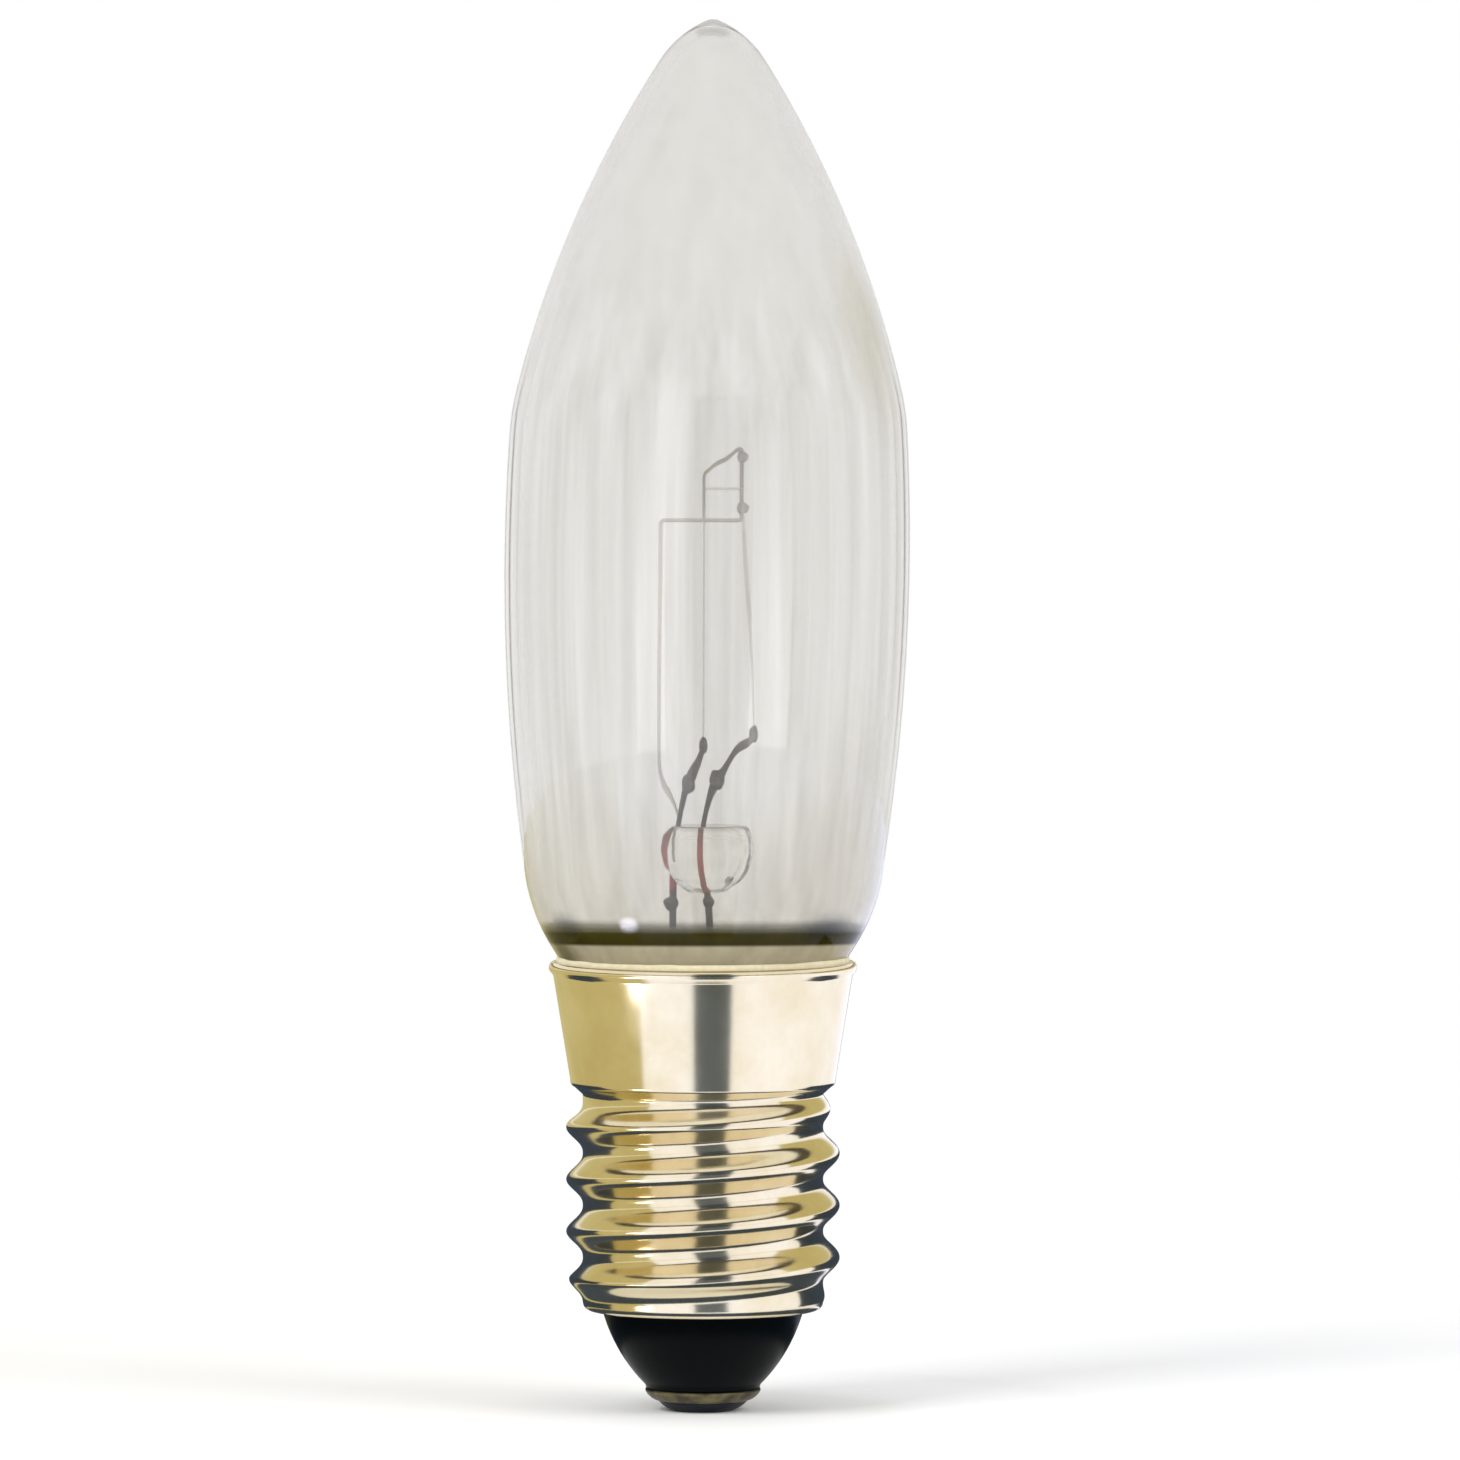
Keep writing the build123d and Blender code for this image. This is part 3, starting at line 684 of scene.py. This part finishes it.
sealWire = copperCladWire()
nickel = dullMetal("nickelWireDrawn", "#6E665F", "#4A433D", 0.3, 0.5)
buildEnvelope(clearGlass())
buildBead(beadGlass())
buildSealWires(sealWire)
buildInnerLead(nickel, "innerLeadLeft", "inner_lead_left", mount["leftKnot"], mount["leftClamp"], 1)
buildInnerLead(nickel, "innerLeadRight", "inner_lead_right", mount["rightKnot"], mount["rightClamp"], 2)
buildSupport(supportWire())
buildFilament(dullMetal("tungstenCoilWound", "#F2F0EC", "#E0DDD8", 0.6, 0.5))
buildShell(rolledBrass())
buildNose(blackGlass())
# the eyelet's dark olive brass is painted shade
buildContact(dullMetal("brassEyeletStamped", "#7C7352", "#4A4536", 0.5, 0.4),
             # the contact solder's near-black navy is painted shade
             tinSolder("tinSolderPaintedShade", "#15171D", "#2E323B"))
buildCement(bakedCement())
buildRimSolder(tinSolder("tinSolderDipped", "#7D7E80", "#B5B6B8"))
print("pieces built")


floor = {"radius": 250, "fadeStart": 20, "fadeEnd": 120}


# pale floor that keeps the shadow and fades into the white surround
def buildFloor():
    bm = bmesh.new()
    bmesh.ops.create_circle(bm, cap_ends=True, segments=96, radius=floor["radius"] * mm)
    material, tree, shader, place = startMaterial("paperFloorPale", Base_Color=linear("#FAFAF9"), Roughness=0.9)
    reach = addNode(tree, "ShaderNodeVectorMath", {"operation": "LENGTH"}, {0: place}).outputs["Value"]
    fade = addNode(tree, "ShaderNodeMapRange", {
        "From Min": floor["fadeStart"] * mm, "From Max": floor["fadeEnd"] * mm, "To Min": 1.0, "To Max": 0.0,
        "interpolation_type": "SMOOTHSTEP"}, {"Value": reach})
    feed(tree, shader, {"Alpha": fade.outputs["Result"]})
    makeObject("floor", bm, material)


# light of a card: even, fading upwards, soft round its middle, or given off by its underside alone
def cardLight(name, colour, strength, middle, top, fadeFrom, soft, underside):
    material = bpy.data.materials.new(name)
    material.use_nodes = True
    tree = material.node_tree
    tree.nodes.clear()
    glow = addNode(tree, "ShaderNodeEmission", {"Color": linear(colour), "Strength": strength})
    fading = {"To Min": strength, "interpolation_type": "SMOOTHSTEP"}
    if fadeFrom is not None:
        place = addNode(tree, "ShaderNodeTexCoord").outputs["Object"]
        height = addNode(tree, "ShaderNodeSeparateXYZ", None, {"Vector": place}).outputs["Z"]
        fade = addNode(tree, "ShaderNodeMapRange", {
            **fading, "From Min": fadeFrom * mm, "From Max": top * mm, "To Max": 1.0}, {"Value": height})
        feed(tree, glow, {"Strength": fade.outputs["Result"]})
    if soft is not None:
        place = addNode(tree, "ShaderNodeTexCoord").outputs["Object"]
        away = addNode(tree, "ShaderNodeVectorMath", {"operation": "DISTANCE", 1: middle}, {0: place})
        fade = addNode(tree, "ShaderNodeMapRange", {
            **fading, "From Min": soft * 0.3 * mm, "From Max": soft * mm, "To Max": 0.5},
            {"Value": away.outputs["Value"]})
        feed(tree, glow, {"Strength": fade.outputs["Result"]})
    shown = glow.outputs["Emission"]
    if underside:
        back = addNode(tree, "ShaderNodeNewGeometry").outputs["Backfacing"]
        clear = addNode(tree, "ShaderNodeBsdfTransparent").outputs["BSDF"]
        shown = addNode(tree, "ShaderNodeMixShader", None, {0: back, 1: shown, 2: clear}).outputs["Shader"]
    addNode(tree, "ShaderNodeOutputMaterial", None, {"Surface": shown})
    return material


# card swept round the axis between two (radius, height) places in mm, seen only in reflections
def buildCard(name, paint, sector, ends, fadeFrom=None, soft=None, underside=False):
    colour, strength = paint
    (startRadius, startZ), (endRadius, endZ) = ends
    bm = bmesh.new()
    steps = 24
    angles = [radians(sector[0] + (sector[1] - sector[0]) * i / steps) for i in range(steps + 1)]
    row = [bm.verts.new((startRadius * sin(a) * mm, -startRadius * cos(a) * mm, startZ * mm)) for a in angles]
    edges = [bm.edges.new(pair) for pair in zip(row, row[1:])]
    swept = bmesh.ops.extrude_edge_only(bm, edges=edges)["geom"]
    raised = [item for item in swept if isinstance(item, bmesh.types.BMVert)]
    grow = endRadius / startRadius
    bmesh.ops.scale(bm, verts=raised, vec=(grow, grow, 1))
    bmesh.ops.translate(bm, verts=raised, vec=(0, 0, (endZ - startZ) * mm))
    bm.normal_update()
    if underside and bm.faces[:][0].normal.z > 0:
        bmesh.ops.reverse_faces(bm, faces=bm.faces)
    turn, reach = radians(sum(sector) / 2), (startRadius + endRadius) / 2
    middle = Vector((reach * sin(turn), -reach * cos(turn), (startZ + endZ) / 2)) * mm
    card = makeObject(name, bm, cardLight(name, colour, strength, middle, endZ, fadeFrom, soft, underside))
    card.visible_camera = card.visible_transmission = card.visible_diffuse = card.visible_shadow = False


paints = {
    "gold": ("#D1C896", 1.0), "cream": ("#E6EAFF", 1.5), "slate": ("#636E7D", 1.0), "navy": ("#3A4557", 1.0),
    "dusk": ("#46505F", 1.0), "brown": ("#4E483E", 1.0), "spark": ("#EDEBFF", 18.0), "glow": ("#FFFFFF", 1.9),
    "strip": ("#FFFFFF", 4.0),
}
sectors = {"round": (-180, 180), "left": (-185, -50), "middle": (-50, -7), "front": (-7, 22)}
floorEnds, wallEnds, rearEnds = ((7, 0.6), (40, 0.6)), ((40, 0), (40, 16)), ((14, 0), (14, 9.5))
collarEnds, farEnds = ((11.5, 16.8), (32, 16.8)), ((500, -100), (500, 120))

# low cards round the cap give its bands: gold left, cream, a dark stripe, cream right, dark edges
lowCards = (
    ("footRing", "dusk", sectors["round"], ((5.2, 0.8), (11, 0.8))),
    ("leftFloor", "gold", sectors["left"], floorEnds),
    ("creamFloor", "cream", sectors["middle"], floorEnds),
    ("frontFloor", "slate", sectors["front"], ((7, 0.6), (12, 0.6))),
    ("middleFloor", "cream", sectors["front"], ((12, 0.6), (17, 0.6))),
    ("outerFloor", "slate", sectors["front"], ((17, 0.6), (40, 0.6))),
    ("rightFloor", "cream", (22, 170), floorEnds),
    ("leftWall", "gold", sectors["left"], wallEnds),
    ("creamWall", "cream", sectors["middle"], wallEnds),
    ("frontWall", "slate", sectors["front"], ((40, 0), (40, 50))),
    ("rightWall", "cream", (22, 164), wallEnds),
    ("rightEdge", "navy", (164, 175), wallEnds),
    ("leftRear", "navy", (-178, -86), rearEnds),
    ("rightRear", "navy", (92, 178), rearEnds),
)
# raised cards, seen only from below by the upper flanks of the thread
raisedCards = (
    ("collarRing", "brown", sectors["round"], ((9, 16.8), (11.5, 16.8))),
    ("leftCollar", "gold", sectors["left"], collarEnds),
    ("creamCollar", "cream", sectors["middle"], collarEnds),
    ("frontCollar", "dusk", sectors["front"], collarEnds),
    ("rightCollar", "cream", (22, 72), collarEnds),
    ("farCollar", "gold", (72, 175), collarEnds),
)
# tall soft lights on the glass
tallCards = (("leftGlow", "glow", (-85, -42)), ("leftStrip", "strip", (-42, -24)), ("rightStrip", "strip", (28, 47)))


def buildCards():
    for name, paint, sector, ends in lowCards:
        buildCard(name, paints[paint], sector, ends)
    for name, paint, sector, ends in raisedCards:
        buildCard(name, paints[paint], sector, ends, underside=True)
    # a small glint at the heel of the glass
    buildCard("glint", paints["spark"], (-62, -46), ((19.5, 1), (27.5, 1)), soft=4.2)
    for name, paint, sector in tallCards:
        buildCard(name, paints[paint], sector, farEnds, fadeFrom=-40)


softboxes = (
    {"name": "keyLight", "place": (-0.35, -0.35, 0.45), "size": (0.3, 0.3), "power": 2.2},
    {"name": "fillLight", "place": (0.4, -0.25, 0.3), "size": (0.3, 0.4), "power": 1.2},
)


def addSoftbox(name, place, size, power):
    lamp = bpy.data.lights.new(name, "AREA")
    lamp.shape = "RECTANGLE"
    lamp.size, lamp.size_y = size
    lamp.energy = power
    holder = bpy.data.objects.new(name, lamp)
    holder.location = place
    aim = Vector((0, 0, 0.02))
    holder.rotation_euler = (aim - Vector(place)).to_track_quat("-Z", "Y").to_euler()
    holder.visible_glossy = holder.visible_transmission = False
    bpy.context.scene.collection.objects.link(holder)


# white to the eye, in mirrors and through glass, and a little dimmer as light
def buildWorld():
    world = bpy.data.worlds.new("studio")
    bpy.context.scene.world = world
    world.use_nodes = True
    tree = world.node_tree
    tree.nodes.clear()
    path = addNode(tree, "ShaderNodeLightPath").outputs
    direct = addNode(tree, "ShaderNodeMath", {"operation": "MAXIMUM"},
                     {0: path["Is Camera Ray"], 1: path["Is Glossy Ray"]})
    shown = addNode(tree, "ShaderNodeMath", {"operation": "MAXIMUM"},
                    {0: direct.outputs["Value"], 1: path["Is Transmission Ray"]})
    strength = addNode(tree, "ShaderNodeMapRange", {"To Min": 0.7, "To Max": 1.0}, {"Value": shown.outputs["Value"]})
    sky = addNode(tree, "ShaderNodeBackground", {"Color": (1, 1, 1, 1)}, {"Strength": strength.outputs["Result"]})
    addNode(tree, "ShaderNodeOutputWorld", None, {"Surface": sky.outputs["Background"]})


view = {"rise": 2.5, "distance": 400, "width": 50.62, "aimX": 0.94, "aimZ": 23.64, "sensor": 36}


def buildCamera():
    camera = bpy.data.cameras.new("camera")
    camera.sensor_width = view["sensor"]
    camera.lens = view["sensor"] * view["distance"] / view["width"]
    holder = bpy.data.objects.new("camera", camera)
    rise = radians(view["rise"])
    aim = Vector((view["aimX"] * mm, 0, view["aimZ"] * mm))
    back = Vector((0, -cos(rise), sin(rise)))
    holder.location = aim + back * view["distance"] * mm
    holder.rotation_euler = (-back).to_track_quat("-Z", "Y").to_euler()
    bpy.context.scene.collection.objects.link(holder)
    bpy.context.scene.camera = holder


buildFloor()
buildCards()
for box in softboxes:
    addSoftbox(**box)
buildWorld()
buildCamera()
print("stage built")
